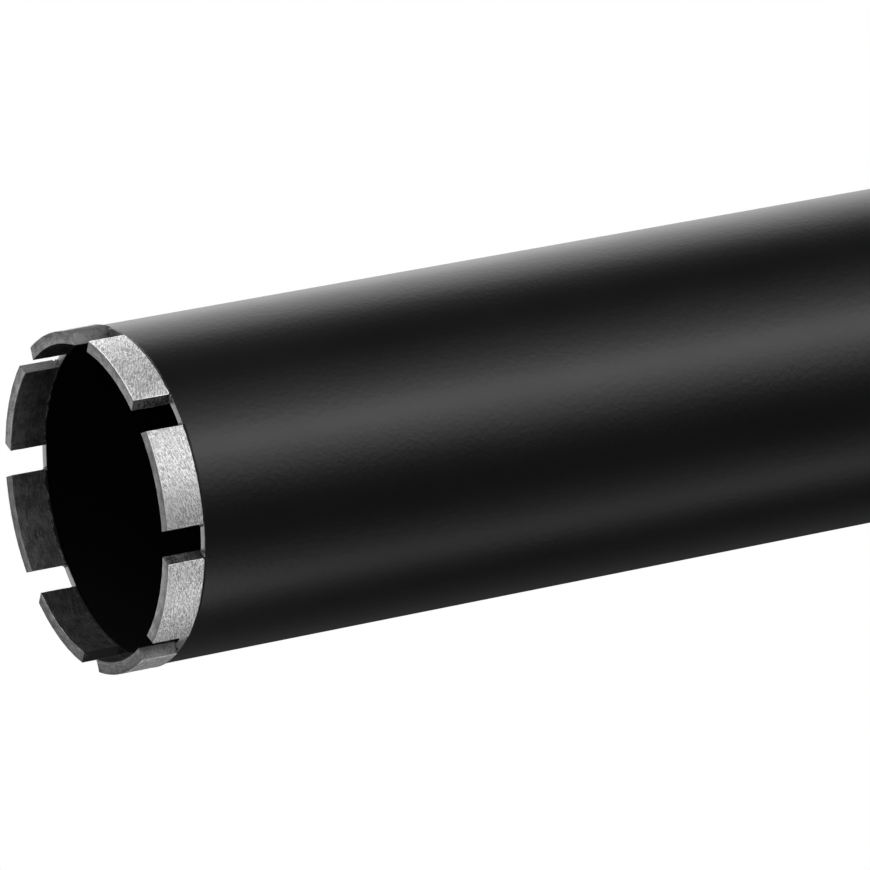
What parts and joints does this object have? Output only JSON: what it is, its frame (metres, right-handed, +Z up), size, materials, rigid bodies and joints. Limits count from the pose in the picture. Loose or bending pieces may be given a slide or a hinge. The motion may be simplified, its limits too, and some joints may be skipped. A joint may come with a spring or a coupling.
{
  "type": "diamond core bit",
  "caption": "Wet core bit: a long thin steel barrel with a toothed crown of brazed diamond segments at one end and a welded, threaded hub at the other.",
  "frame": {"origin": "centre of the hub's seat, the flat ring on which the bit stands", "axes": "+Z up the barrel's axis to the crown of segments; +X and +Y pass through water slots of the crown"},
  "size_m": [0.0818, 0.0818, 0.4969],
  "materials": {
    "painted_barrel": "satin black paint",
    "turned_hub": "turned steel, bare",
    "diamond_matrix": "rough sintered metal with diamond grit",
    "silver_solder": "dull solder"
  },
  "bodies": {
    "root": {"barrel_tube": "painted_barrel", "end_disc": "painted_barrel", "barrel_weld": "painted_barrel", "threaded_hub": "turned_hub", "hub_weld": "painted_barrel", "diamond_segment_1": "diamond_matrix", "braze_joint_1": "silver_solder", "diamond_segment_2": "diamond_matrix", "braze_joint_2": "silver_solder", "diamond_segment_3": "diamond_matrix", "braze_joint_3": "silver_solder", "diamond_segment_4": "diamond_matrix", "braze_joint_4": "silver_solder", "diamond_segment_5": "diamond_matrix", "braze_joint_5": "silver_solder", "diamond_segment_6": "diamond_matrix", "braze_joint_6": "silver_solder", "diamond_segment_7": "diamond_matrix", "braze_joint_7": "silver_solder", "diamond_segment_8": "diamond_matrix", "braze_joint_8": "silver_solder"}
  },
  "joints": []
}
